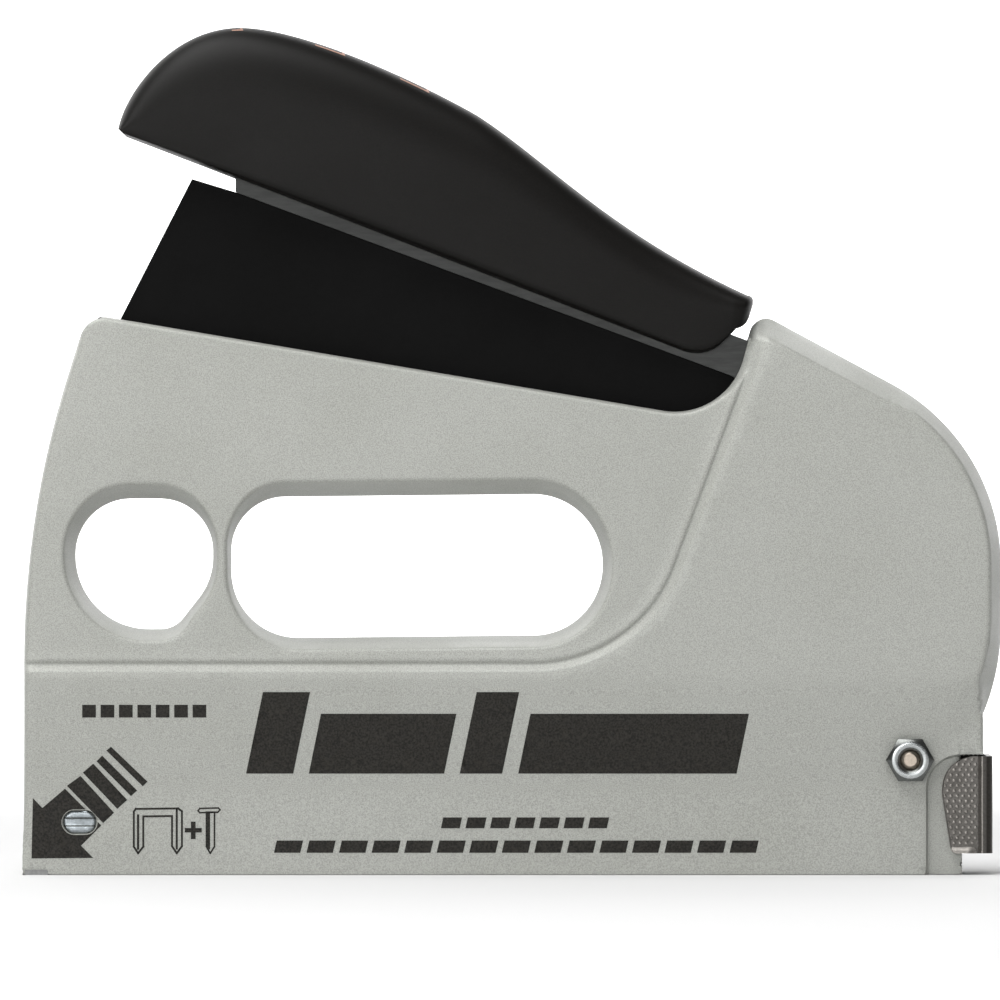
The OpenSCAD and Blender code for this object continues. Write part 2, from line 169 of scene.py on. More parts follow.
def outline_draft(loop):
    """How far the side wall leans in, how round its edge is, and where it starts, along the outline."""
    x, z = loop[:, 0], loop[:, 1]
    out = -normals_in(loop)
    nose = ramp(-out[:, 0], 0.6, 0.9) * ramp(z, 1, 20) * (x < 0)
    up, down = np.clip(out[:, 1], 0, 1), np.clip(-out[:, 1], 0, 1)
    base = 1 - ramp(down, 0.3, 0.8)
    lean = 0.06 + (0.04 + 0.3 * ramp(z, 0.5, 25) + 0.4 * nose) * base
    edge = 0.1 + (0.1 + 0.7 * ramp(z, 0.5, 25) + 0.6 * nose) * base
    hump = 2.7 + 1.4 * ramp(up, 0.76, 0.88) + 1.2 * np.minimum(down / 0.3, 1)
    hump = np.where((x < 60) & (up < 0.6), 2.2, hump)
    on = ramp(z, 33.8, 38) * (x > 60) + ramp(z, 101, 112) * (x <= 60) * (x > 40)
    start = np.array([open_to(p) for p in loop])
    start = np.where((x > 45) & (x < 60) & (z > 100), OPEN_W * ramp(-out[:, 0], -0.3, 0.93), start)
    return smooth(lean + (hump - lean) * on, 3), edge + (1.2 - edge) * on, RIM_STEP + start


def opening_draft(loop):
    """The same for an opening whose walls lean towards the joint between the halves."""
    out = -normals_in(loop)
    slot = loop[:, 0].max() > 0
    left, right = (0.6, 1.9) if slot else (2.0, 1.2)
    lean = 3.0 * np.clip(out[:, 1], 0, 1) ** 2 + 2.4 * np.clip(-out[:, 1], 0, 1) ** 2
    lean = lean + left * np.clip(-out[:, 0], 0, 1) ** 2 + right * np.clip(out[:, 0], 0, 1) ** 2
    return smooth(lean, 4), np.full(len(loop), 1.0), np.full(len(loop), RIM_STEP)


def wall(d, lean, edge, foot, top):
    """Half width at distance d from a wall's foot: a leaning wall, a round edge, then the face."""
    tilt = np.arctan2(top - foot, lean)
    meet = lean + edge * np.tan(tilt / 2)
    t = np.clip((meet - d) / edge, 0, np.sin(tilt))
    arc = top - edge * (1 - np.cos(np.arcsin(t)))
    line = foot + np.maximum(d, 0) * (top - foot) / lean
    return np.where(d >= meet - edge * np.sin(tilt), arc, line)


lean, edge, foot = zip(outline_draft(body_loop), opening_draft(slot_loop), opening_draft(hole_loop))
# the hump's top and rear wall and the rest of the outline are two walls that meet in creases
on_hump = np.flatnonzero((body_loop[:, 1] > 33.6) & (body_loop[:, 0] > 52.5))
rest = np.r_[on_hump[-1]:len(body_loop), 0:on_hump[0] + 1]


def oval_from(p):
    """Distance from the middle line of the oval window that the nose screw sits in."""
    return np.hypot(np.maximum(np.abs(p[:, 0] - SCREW_AT[0]) - WINDOW_HALF, 0), p[:, 1] - SCREW_AT[1])


def half_width(p, side=-1.0):
    """Half width of the casting over the side view, edges rounded, in mm."""
    x, z = p[:, 0], p[:, 1]
    crease = 17.2 + 17.0 * ramp(x, 70, 106) ** 1.2
    top = np.maximum(41, crease + 11)
    flare = np.clip((z - crease) / (top - crease), -1, 1)
    flare = np.where(flare < 0.08, np.maximum(flare + 0.08, 0) ** 2 / 0.32, flare)
    proud = BASE_W + (FACE_W - BASE_W) * np.minimum(flare, 1)
    # raised bead, fine groove, then the step up to the band and the hump
    s = signed(p, proud_loop)
    h = LOOP_W + 0.3 * ramp(s, -3.4, -1.5) - 0.42 * ramp(s, -1.5, -0.8)
    h = h + (proud - h) * ramp(s, -0.9, 1.2)
    h = h - WINDOW_FLOOR * (1 - ramp(oval_from(p), WINDOW_R, WINDOW_R + 0.26))
    if side > 0:
        for bx, bz in BOSSES:
            far = np.hypot(x - bx, z - bz)
            h = h + (COUNTERBORE_FLOOR - h) * (1 - ramp(far, COUNTERBORE_R, COUNTERBORE_R + 0.35))
    recess = ramp(signed(p, recess_loop), -0.35, 0.25)
    h = h + (np.minimum(h, RECESS_W) - h) * recess
    h = h - NOSE_STEP_DEPTH * ((x < NOSE_STEP_X) & (z < NOSE_STEP_Z))
    inside = np.where(within(p, body_loop) | (away(p, body_loop) < 0.01), 1.0, -1.0)
    low = h
    for ids in (rest, on_hump):
        d, at = away(p, body_loop[ids], False, True)
        at = ids[at]
        low = np.minimum(low, wall(d * inside, lean[0][at], edge[0][at], foot[0][at], h))
    for k, loop in ((1, slot_loop), (2, hole_loop)):
        d, at = away(p, loop, which=True)
        d = d * np.where(within(p, loop), -1.0, 1.0)
        low = np.minimum(low, wall(d, lean[k][at], edge[k][at], foot[k][at], h))
    return low


def eased_width(p, side=-1.0):
    """half_width, evened out at the hump's top front corner, where two walls run together."""
    h = half_width(p, side)
    r = np.hypot(p[:, 0] - HUMP_CORNER[0], p[:, 1] - HUMP_CORNER[1])
    near = np.flatnonzero(r < EASE_END)
    ring = [(math.cos(a), math.sin(a)) for a in np.linspace(0, 2 * math.pi, 8, endpoint=False)]
    around = [half_width(p[near] + np.array(q) * k, side) for k in EASE_RINGS for q in ring]
    mean = np.mean([h[near]] + around, axis=0)
    h[near] += (mean - h[near]) * (1 - ramp(r[near], EASE_FULL, EASE_END))
    return h


def ring_points(loop, normal, k):
    """Loops of points that follow a leaning wall from its foot up and round onto the face."""
    tilt = np.arctan2(12.0, lean[k])
    meet = lean[k] + edge[k] * np.tan(tilt / 2)
    out = [loop + normal * (lean[k] * f)[:, None] for f in (0.3, 0.6)]
    for a in (88, 72, 58, 45, 32, 20, 8):
        out.append(loop + normal * (meet - edge[k] * np.sin(np.minimum(tilt, math.radians(a))))[:, None])
    out.append(loop + normal * (meet + 0.25)[:, None])
    return out


def oval_loop(r, gap):
    t = np.linspace(-math.pi / 2, math.pi / 2, 24)
    right = np.stack([SCREW_AT[0] + WINDOW_HALF + r * np.cos(t), SCREW_AT[1] + r * np.sin(t)], 1)
    left = np.stack([SCREW_AT[0] - WINDOW_HALF - r * np.cos(t), SCREW_AT[1] - r * np.sin(t)], 1)
    return fill(np.vstack([right, left]), gap)


def face_points(gap):
    """All inner points of the side view that the face's mesh goes through."""
    sets = ring_points(body_loop, normals_in(body_loop), 0)
    for k, loop in ((1, slot_loop), (2, hole_loop)):
        sets += ring_points(loop, -normals_in(loop), k)
    line = fill(proud_loop, 0.8)
    n = normals_in(line)
    sets += [line + n * k for k in (-3.2, -2.2, -1.5, -1.2, -1.0, -0.8, -0.6, -0.3, 0, 0.35, 0.7, 1.1)]
    line = fill(recess_loop, 0.6)
    sets += [line + normals_in(line) * k for k in (-0.26, -0.02, 0.22)]
    for cx, cz in BOSSES:
        for r in (3.0, 3.15, 3.3, 3.45):
            t = np.linspace(0, 2 * math.pi, 60, endpoint=False)
            sets.append(np.stack([cx + r * np.cos(t), cz + r * np.sin(t)], 1))
    sets += [oval_loop(r, 0.25) for r in (2.34, 2.43, 2.52, 2.64)]
    for k in (0, 0.06):
        step_x, step_z = NOSE_STEP_X + k, NOSE_STEP_Z + k
        sets.append(fill(np.array([(-104, step_z), (step_x, step_z), (step_x, 0.2)]), 0.4, False))
    fine = np.vstack(sets)
    fine = fine[(signed(fine, body_loop) > 0.03) & (signed(fine, slot_loop) < -0.03)
                & (signed(fine, hole_loop) < -0.03)]
    # thin out points that nearly touch
    _, keep = np.unique(np.round(fine / 0.16).astype(int), axis=0, return_index=True)
    fine = fine[np.sort(keep)]
    gx, gz = np.meshgrid(np.arange(-104, 104.5, gap), np.arange(0, 120, gap * 0.87))
    gx = gx + (np.arange(gx.shape[0]) % 2)[:, None] * gap / 2
    grid = np.stack([gx.ravel(), gz.ravel()], 1)
    grid = grid[(signed(grid, body_loop) > gap * 0.5) & (signed(grid, slot_loop) < -gap * 0.5)
                & (signed(grid, hole_loop) < -gap * 0.5)]
    cells = {tuple(c) for c in np.round(fine / (gap * 0.9)).astype(int)}
    free = [tuple(c) not in cells for c in np.round(grid / (gap * 0.9)).astype(int)]
    return np.vstack([fine, grid[free]])


def with_breaks(loop):
    """Doubles the outline's points where the rim's depth jumps."""
    out = []
    for i, p in enumerate(loop):
        q = loop[(i + 1) % len(loop)]
        out.append(p)
        if open_to(p) != open_to(q):
            lo, hi = 0.0, 1.0
            for _ in range(30):
                m = (lo + hi) / 2
                lo, hi = (m, hi) if open_to(p + (q - p) * m) == open_to(p) else (lo, m)
            out += [p + (q - p) * max(lo - 0.004, 0.002), p + (q - p) * min(hi + 0.004, 0.998)]
    return np.array(out)


def new_object(name, verts, faces, smooth=True):
    mesh = bpy.data.meshes.new(name)
    mesh.from_pydata([tuple(v) for v in verts], [], faces)
    mesh.validate()
    mesh.update()
    ob = bpy.data.objects.new(name, mesh)
    bpy.context.scene.collection.objects.link(ob)
    if smooth:
        mesh.shade_smooth()
    return ob


def tidy_normals(ob, merge=0.00001, sharp=35):
    bm = bmesh.new()
    bm.from_mesh(ob.data)
    bmesh.ops.remove_doubles(bm, verts=bm.verts, dist=merge)
    bmesh.ops.recalc_face_normals(bm, faces=bm.faces)
    for e in bm.edges:
        e.smooth = not (len(e.link_faces) == 2 and e.calc_face_angle(0) > math.radians(sharp))
    bm.to_mesh(ob.data)
    bm.free()
    return ob


def triangulate(loops, inner):
    """Triangles over the area inside the first loop and outside the others, through the inner points."""
    pts, edges, at = [], [], 0
    for loop in loops:
        n = len(loop)
        pts += [tuple(p) for p in loop]
        edges += [(at + i, at + (i + 1) % n) for i in range(n)]
        at += n
    pts += [tuple(p) for p in inner]
    v, _, f, *_ = delaunay_2d_cdt(pts, edges, [], 0, 1e-5)
    v = np.array([tuple(p) for p in v])
    f = np.array([t for t in f if len(t) == 3])
    mid = v[f].mean(1)
    keep = within(mid, loops[0])
    for loop in loops[1:]:
        keep &= ~within(mid, loop)
    return v, f[keep]


def housing(name, side):
    outline = with_breaks(body_loop)
    v, f = triangulate([outline, slot_loop, hole_loop], inner_points)
    h = eased_width(v, side)
    verts = [(x * MM, side * w * MM, z * MM) for (x, z), w in zip(v, h)]
    faces = [tuple(t) for t in f]

    def strip(a, b):
        for i in range(len(a)):
            j = (i + 1) % len(a)
            faces.append((a[i], a[j], b[j], b[i]))

    def add(points, ys):
        at = len(verts)
        verts.extend((x * MM, side * y * MM, z * MM) for (x, z), y in zip(points, ys))
        return list(range(at, at + len(points)))

    # rim from the rounded edge in to the joint between the halves, with a fine parting groove
    h_out = eased_width(outline, side)
    inner = np.array([open_to(p) for p in outline])
    n = normals_in(outline)
    first = add(outline, h_out)
    second = add(outline, np.where(inner > 0, inner + 0.25, 0.22))
    third = add(outline + n * np.where(inner > 0, 0.35, 0.2)[:, None], np.where(inner > 0, inner, 0.0))
    # lower inside edge of the slot the handle closes into, and of the magazine's mouth
    deep = outline + n * np.where(inner > 0, 2.4, 0.9)[:, None]
    deep[:, 1] = np.where((inner > 9), np.minimum(deep[:, 1], 84.2), deep[:, 1])
    fourth = add(deep, inner)
    strip(first, second)
    strip(second, third)
    strip(third, fourth)
    for loop in (slot_loop, hole_loop):
        n = -normals_in(loop)
        a = add(loop, half_width(loop, side))
        b = add(loop, np.full(len(loop), 0.22))
        c = add(loop + n * 0.15, np.zeros(len(loop)))
        strip(a, b)
        strip(b, c)
    ob = new_object(name, verts, faces)
    return tidy_normals(ob, 0.000004, 50)


# ------------------------------------------------------------------ materials
def material(name, color, rough=0.5, metal=0.0, **kw):
    """A procedural finish: colour mottled by noise, rougher and smoother patches, and a fine bump."""
    m = bpy.data.materials.new(name)
    m.use_nodes = True
    t = m.node_tree
    b = t.nodes["Principled BSDF"]
    b.inputs["Base Color"].default_value = (*color, 1)
    b.inputs["Metallic"].default_value = metal
    b.inputs["Roughness"].default_value = rough
    if kw.get("specular") is not None:
        b.inputs["Specular IOR Level"].default_value = kw["specular"]
    co = t.nodes.new("ShaderNodeTexCoord")
    stretch = t.nodes.new("ShaderNodeMapping")
    stretch.inputs["Scale"].default_value = kw.get("stretch", (1, 1, 1))
    t.links.new(co.outputs["Object"], stretch.inputs["Vector"])

    def cloud(scale, detail):
        n = t.nodes.new("ShaderNodeTexNoise")
        n.inputs["Scale"].default_value = scale
        n.inputs["Detail"].default_value = detail
        n.inputs["Roughness"].default_value = 0.6
        t.links.new(stretch.outputs[0], n.inputs["Vector"])
        return n.outputs["Fac"]

    def span(src, lo, hi, a, b_):
        n = t.nodes.new("ShaderNodeMapRange")
        n.inputs["From Min"].default_value = lo
        n.inputs["From Max"].default_value = hi
        n.inputs["To Min"].default_value = a
        n.inputs["To Max"].default_value = b_
        t.links.new(src, n.inputs["Value"])
        return n.outputs["Result"]

    grain = cloud(kw.get("grain", 3000), 2)
    patch = cloud(kw.get("patch", 60), 4)
    mix = t.nodes.new("ShaderNodeMix")
    mix.data_type = "RGBA"
    lo, hi = kw.get("tones", (0.93, 1.07))
    mix.inputs["A"].default_value = (*[min(1, c * lo) for c in color], 1)
    mix.inputs["B"].default_value = (*[min(1, c * hi) for c in color], 1)
    t.links.new(span(grain, 0.35, 0.65, 0, 1), mix.inputs["Factor"])
    tint = t.nodes.new("ShaderNodeMix")
    tint.data_type = "RGBA"
    tint.blend_type = "MULTIPLY"
    worn = kw.get("worn", (0.93, 0.93, 0.92))
    t.links.new(mix.outputs["Result"], tint.inputs["A"])
    tint.inputs["B"].default_value = (*worn, 1)
    t.links.new(span(patch, 0.45, 0.75, 0, 1), tint.inputs["Factor"])
    t.links.new(tint.outputs["Result"], b.inputs["Base Color"])
    spread = kw.get("rough_spread", 0.08)
    dull = span(patch, 0.3, 0.7, max(rough - spread, 0.05), min(rough + spread, 1))
    t.links.new(dull, b.inputs["Roughness"])
    bump = t.nodes.new("ShaderNodeBump")
    bump.inputs["Strength"].default_value = kw.get("bump", 0.2)
    bump.inputs["Distance"].default_value = kw.get("depth", 0.00005)
    t.links.new(grain, bump.inputs["Height"])
    t.links.new(bump.outputs["Normal"], b.inputs["Normal"])
    return m


PAINT = material("cast paint", (0.36, 0.366, 0.34), 0.5, 0.1, grain=4300, tones=(0.8, 1.2), bump=0.4,
                 depth=0.00006, patch=28, worn=(0.96, 0.96, 0.95), specular=0.3)
BLACK_GRIP = material("grip", (0.0038, 0.0034, 0.0029), 0.46, 0, grain=3400, tones=(0.8, 1.25), bump=0.3,
                      depth=0.00005, patch=24, specular=0.15, rough_spread=0.05)
GUARD = material("guard", (0.0042, 0.0042, 0.0042), 0.55, 0, grain=2500, tones=(0.9, 1.1), bump=0.15,
                 patch=30, specular=0.045)
DARK_STEEL = material("dark steel", (0.03, 0.031, 0.03), 0.42, 0.6, grain=1500, stretch=(0.15, 1, 1),
                      tones=(0.85, 1.2), patch=40, bump=0.12)
ZINC = material("zinc", (0.44, 0.46, 0.46), 0.3, 1, grain=1800, tones=(0.9, 1.05), patch=300, bump=0.08,
                rough_spread=0.12)
BOLT_METAL = material("bolt", (0.5, 0.43, 0.36), 0.33, 1, grain=1800, tones=(0.85, 1.05), patch=400, bump=0.1,
                      rough_spread=0.1)
STEEL = material("steel", (0.42, 0.42, 0.41), 0.36, 1, grain=1200, stretch=(0.2, 1, 1), tones=(0.85, 1.1),
                 patch=60, bump=0.1, rough_spread=0.1)
CLIP_STEEL = material("clip steel", (0.13, 0.123, 0.114), 0.42, 1, grain=2200, tones=(0.85, 1.1),
                      patch=250, bump=0.12, rough_spread=0.1)
# painted shade: a darker copy of the clip steel, for the rear web past the fold and for the strip between pad
# and fold ridge
CLIP_SHADE = material("clip painted shade", (0.06, 0.055, 0.05), 0.42, 1, grain=2200, tones=(0.85, 1.1),
                      patch=250, bump=0.12)
# painted highlight: a lighter copy of the clip steel, for the knurl tops, the flared lip and the ridge of the
# fold
CLIP_HIGHLIGHT = material("clip painted highlight", (0.36, 0.34, 0.315), 0.4, 1, grain=2200, tones=(0.85, 1.1),
                     patch=250, bump=0.12)
HEAD_METAL = material("screw head", (0.27, 0.295, 0.31), 0.34, 1, grain=1800, tones=(0.85, 1.1),
                      patch=500, bump=0.1, rough_spread=0.12)
# painted shade: a darker copy of the zinc and screw head metal, for the nut's flats, chamfer and bore and for
# the walls of the screw slots
NUT_SHADE = material("painted shade metal", (0.13, 0.135, 0.13), 0.34, 1, grain=1800, tones=(0.85, 1.1),
                     patch=300, bump=0.08)
FOOT_STEEL = material("nose steel", (0.21, 0.213, 0.21), 0.45, 0.3, grain=1800, tones=(0.88, 1.1),
                      patch=60, bump=0.1)
SPRING_STEEL = material("spring steel", (0.12, 0.125, 0.13), 0.35, 1, grain=1500, patch=200, bump=0.1)
BRASS = material("brass", (0.6, 0.42, 0.17), 0.3, 1, grain=1500, patch=200, bump=0.08)
RUBBER = material("rubber", (0.02, 0.02, 0.02), 0.75, 0, grain=2000, patch=60, bump=0.3)
INK = material("ink", (0.0125, 0.0115, 0.0095), 0.55, 0, grain=2400, tones=(0.5, 2.2), bump=0.2, patch=600,
               worn=(1, 0.98, 0.95), specular=0.2)
COPPER_INK = material("copper ink", (0.33, 0.17, 0.115), 0.5, 0.1, grain=2400, tones=(0.8, 1.2),
                      bump=0.15, patch=400)

# ------------------------------------------------------------------ build: castings
gap = 1.7
inner_points = face_points(gap)
for key, side in SIDES.items():
    ob = housing(f"{key}_casting", side)
    ob.data.materials.append(PAINT)
    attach(ob, "body")
    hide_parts(f"{key}_housing")


# ------------------------------------------------------------------ prints
def print_mark(name, loops, mat, side=-1.0, gap=1.0, lift=0.035, holes=()):
    """A thin ink layer that lies on the casting's face."""
    verts, faces = [], []
    for loop in loops:
        loop = fill(np.array(loop, float), gap)
        lo, hi = loop.min(0), loop.max(0)
        gx, gz = np.meshgrid(np.arange(lo[0], hi[0], gap), np.arange(lo[1], hi[1], gap))
        grid = np.stack([gx.ravel(), gz.ravel()], 1)
        grid = grid[signed(grid, loop) > gap * 0.3] if len(grid) else grid
        v, f = triangulate([loop, *holes], grid)
        h = half_width(v, side) + lift
        at = len(verts)
        verts += [(x * MM, side * w * MM, z * MM) for (x, z), w in zip(v, h)]
        faces += [tuple(int(i) + at for i in t) for t in f]
    ob = new_object(name, verts, faces)
    ob.data.materials.append(mat)
    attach(ob, "body")
    return ob


def bar(x0, z0, x1, z1, lean=0.0):
    return [(x0, z0), (x1, z0), (x1 + lean, z1), (x0 + lean, z1)]


# direction mark: head pointing down and forward with four bars behind it,
# cut out around the nose screw's window
head = [(-101.7, 16.3), (-99.7, 14.2), (-94.9, 18.3), (-87.2, 10.5), (-91.5, 6.2), (-88.9, 3.6),
        (-102.0, 3.5)]
stripes = [[(-91.6, 21.0), (-94.5, 18.9), (-86.8, 11.0), (-84.5, 13.2)],
           [(-88.9, 23.6), (-91.1, 21.7), (-83.8, 14.0), (-81.7, 15.9)],
           [(-87.0, 25.3), (-88.2, 24.1), (-80.9, 16.7), (-79.6, 17.9)],
           [(-85.1, 27.2), (-86.1, 26.4), (-78.4, 18.8), (-77.4, 19.8)]]
print_mark("direction_mark", [head] + stripes, INK, holes=[oval_loop(2.72, 0.4)])


def line(pts, width, closed=False):
    """A drawn line of that width through the points, as four-sided pieces."""
    out = []
    n = len(pts)
    for i in range(n if closed else n - 1):
        p, q = np.array(pts[i], float), np.array(pts[(i + 1) % n], float)
        d = (q - p) / np.linalg.norm(q - p)
        w = np.array([-d[1], d[0]]) * width / 2
        e = d * width / 2
        out.append([p - e - w, q + e - w, q + e + w, p - e + w])
    return out


staple = [(-80.3, 13.4), (-79.9, 14.0), (-70.9, 14.1), (-70.1, 13.5), (-70.1, 6.1), (-71.2, 4.6),
          (-72.2, 6.1), (-72.2, 12.5), (-78.3, 12.4), (-78.3, 6.0), (-79.4, 4.6), (-80.3, 6.0)]
brad = [(-64.9, 13.3), (-64.9, 6.0), (-64.1, 4.6), (-63.2, 6.0), (-63.2, 13.3)]
brad_head = [(-66.7, 13.6), (-66.3, 14.1), (-62.4, 14.2), (-62.0, 13.8), (-62.5, 13.3), (-66.3, 13.2)]
marks = line(staple, 0.42, True) + line([(-79.4, 12.6), (-79.4, 5.6)], 0.5)
marks += line([(-71.2, 13.9), (-71.2, 5.6)], 0.45)
marks += line(brad, 0.36, True) + line([(-64.5, 13.0), (-64.5, 5.8)], 0.75) + line(brad_head, 0.34, True)
marks += [bar(-69.5, 9.0, -65.9, 9.95), bar(-68.2, 7.6, -67.2, 9.0), bar(-68.2, 9.95, -67.2, 11.3)]
for k in range(0, 3):
    print_mark(f"fastener_marks_{k}", marks[k::3], INK, gap=0.8, lift=0.035 + 0.004 * k)
# plain slanted bars where the maker's lettering would be
bold = [bar(-56.5, 21.5, -46.5, 38.8, 3.6), bar(-43.2, 21.5, -14.5, 34.2, 2.6),
        bar(-11.2, 21.5, -2.2, 38.8, 3.6), bar(1.2, 21.5, 47.5, 34.2, 2.6)]
print_mark("wide_bars", bold, INK, gap=1.4)
rows = [bar(-91.2 + 3.9 * k, 33.4, -88.3 + 3.9 * k, 36.1) for k in range(7)]
rows += [bar(-15.2 + 5.2 * k, 9.9, -11.2 + 5.2 * k, 12.2, 0.5) for k in range(7)]
rows += [bar(-50.6 + 6.9 * k, 4.7, -45.0 + 6.9 * k, 7.3, 0.6) for k in range(15)]
print_mark("short_bars", rows, INK)

# ------------------------------------------------------------------ grip
TOP = [(-83.8, 158.4), (-82.9, 165.3), (-73, 180.05), (-58, 180.05), (-46, 180.05), (-24, 170.6), (-8, 161.7),
       (7, 152.3), (20, 136.9), (49.9, 123.1)]
GRIP_START, GRIP_SPAN, GRIP_HALF = -82.6, 131.9, 14.2
# how boxy the grip's section is: sides, top, underside
SIDE_POWER, CROWN_POWER, FLAT_POWER = 0.55, 0.78, 0.07
# underside of the grip: height at its front end, fall per mm, and the turn up at its rear end
LOW_Z, LOW_FALL, HEEL_START, HEEL_RISE = 157.2, 0.3889, 0.9, 10.2


def bezier(p, t):
    s = np.minimum(2, np.floor(t * 3)).astype(int)
    u = (t * 3 - s)[:, None]
    q = np.array(p, float)
    a, b, c, d = (q[3 * s + k] for k in range(4))
    return a * (1 - u) ** 3 + 3 * b * u * (1 - u) ** 2 + 3 * c * u * u * (1 - u) + d * u ** 3


def grip_lines(t):
    """Top line, bottom line and half width of the grip along its length."""
    top = bezier(TOP, t)
    x = GRIP_START + GRIP_SPAN * t
    heel = HEEL_RISE * (np.clip(t - HEEL_START, 0, 1) * 10) ** 1.9
    z = LOW_Z - LOW_FALL * (x - GRIP_START) + heel
    low = np.stack([x - 1.6 * ramp(t, 0.93, 1), z], 1)
    wide = GRIP_HALF * (0.72 + 0.28 * np.sin(np.radians(np.minimum(90, 60 + 420 * t))))
    wide = wide - 2.6 * (np.clip(t - 0.35, 0, 1) / 0.65) ** 1.5
    return top, low, wide


def grip_mesh():
    rings, n = 110, 72
    top, low, wide = grip_lines(np.linspace(0, 1, rings) ** 1.3)
    mid, up = (top + low) / 2, (top - low) / 2
    verts, faces = [], []
    ang = 2 * math.pi * (np.arange(n) + 0.5) / n
    c, s = np.cos(ang), np.sin(ang)
    cy = np.sign(c) * np.abs(c) ** SIDE_POWER
    sz = np.sign(s) * np.abs(s) ** np.where(s > 0, CROWN_POWER, FLAT_POWER)

    def ring(m, u, w, k):
        at = len(verts)
        for i in range(n):
            verts.append(((m[0] + u[0] * sz[i] * k) * MM, w * cy[i] * k * MM,
                          (m[1] + u[1] * sz[i] * k) * MM))
        return list(range(at, at + n))

    along = np.gradient(mid, axis=0)
    along /= np.linalg.norm(along, axis=1, keepdims=True)
    loops = []
    for k in (0.35, 0.7, 0.9, 0.97):
        loops.append(ring(mid[0] + along[0] * (1 - k) * 0.3, up[0], wide[0], k))
    for i in range(rings):
        loops.append(ring(mid[i], up[i], wide[i], 1.0))
    for k, shift in ((0.985, 0.35), (0.94, 0.8), (0.86, 1.25), (0.72, 1.65), (0.45, 1.9), (0.2, 1.95)):
        loops.append(ring(mid[-1] + along[-1] * shift, up[-1], wide[-1], k))
    for a, b in zip(loops, loops[1:]):
        for i in range(n):
            j = (i + 1) % n
            faces.append((a[i], b[i], b[j], a[j]))
    faces.append(tuple(loops[0][::-1]))
    faces.append(tuple(loops[-1]))
    ob = new_object("grip_skin", verts, faces)
    return tidy_normals(ob, 0.000004, 60)


grip = grip_mesh()
grip.data.materials.append(BLACK_GRIP)
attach(grip, "handle")
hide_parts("grip")


def top_marks():
    """Three pairs of short open strokes printed across the top of the grip."""
    fine = np.linspace(0, 1, 2000)
    verts, faces = [], []
    for x0, x1 in ((-60.0, -57.6), (-42.3, -35.9), (-24.2, -18.0)):
        for xa, xb, ya, yb in ((x0, x1, -7.7, -6.9), (x0, x1, -4.4, -3.7), (x0, x1, 3.7, 4.4),
                               (x0, x1, 6.9, 7.7), (x1 - 0.5, x1, -6.9, -4.4), (x1 - 0.5, x1, 4.4, 6.9)):
            t = np.interp(np.linspace(xa, xb, 7), bezier(TOP, fine)[:, 0], fine)
            top, low, wide = grip_lines(t)
            at = len(verts)
            for y in np.linspace(ya, yb, 4):
                c = (abs(y) / wide) ** (1 / SIDE_POWER)
                k = (1 - c * c) ** (CROWN_POWER / 2)
                pt = (top + low) / 2 + (top - low) / 2 * k[:, None]
                verts += [(px * MM, y * MM, (pz + 0.04) * MM) for px, pz in pt]
            corners = [at + r * 7 + i for r in range(3) for i in range(6)]
            faces += [(q, q + 1, q + 8, q + 7) for q in corners]
    ob = new_object("grip_top_marks", verts, faces)
    ob.data.materials.append(COPPER_INK)
    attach(ob, "handle")


top_marks()


# ------------------------------------------------------------------ hardware
def hex_nut():
    """Hex nut with a chamfered face and a threaded bore, axis along Y, flats level at top and bottom."""
    n, af, bore, face = 96, 8.9, 2.12, 3.9
    verts, faces = [], []
    a = 2 * math.pi * np.arange(n) / n
    flat = af / 2 / np.cos(a % (math.pi / 3) - math.pi / 6)
    y0, y1 = -12.25, -15.35

    def ring(r, y):
        at = len(verts)
        r, y = np.broadcast_to(np.asarray(r, float), (n,)), np.broadcast_to(np.asarray(y, float), (n,))
        verts.extend(((BOLT_AT[0] + r[i] * math.cos(a[i])) * MM, y[i] * MM,
                      (BOLT_AT[1] + r[i] * math.sin(a[i])) * MM) for i in range(n))
        return list(range(at, at + n))

    # the chamfer is a cone that cuts the corners back, so each flat ends in a shallow arc
    cone = y1 + 0.1 + np.maximum(flat - face, 0) * 0.75
    loops = [ring(bore, y0), ring(flat, y0), ring(flat, cone),
             ring(flat * 0.55 + face * 0.45, (cone + y1 + 0.1) / 2 - 0.05), ring(face, y1 + 0.07),
             ring(face - 0.2, y1), ring(bore + 0.75, y1), ring(bore + 0.6, y1 + 0.06),
             ring(bore + 0.1, y1 + 0.5)]
    for k in range(6):
        loops.append(ring(bore + 0.02 + 0.14 * (k % 2), y1 + 0.75 + 0.3 * k))
    loops.append(loops[0])
    for p, q in zip(loops, loops[1:]):
        for i in range(n):
            faces.append((p[i], p[(i + 1) % n], q[(i + 1) % n], q[i]))
    ob = new_object("hex_nut_skin", verts, faces)
    ob.data.materials.append(ZINC)
    ob.data.materials.append(NUT_SHADE)
    for f in ob.data.polygons:
        far = math.hypot(f.center.x / MM - BOLT_AT[0], f.center.z / MM - BOLT_AT[1])
        # painted shade: the flats, the chamfer and the bore get the darker metal
        f.material_index = int(far > face + 0.05 or far < bore + 0.4)
    return tidy_normals(ob, 0.000002, 30)


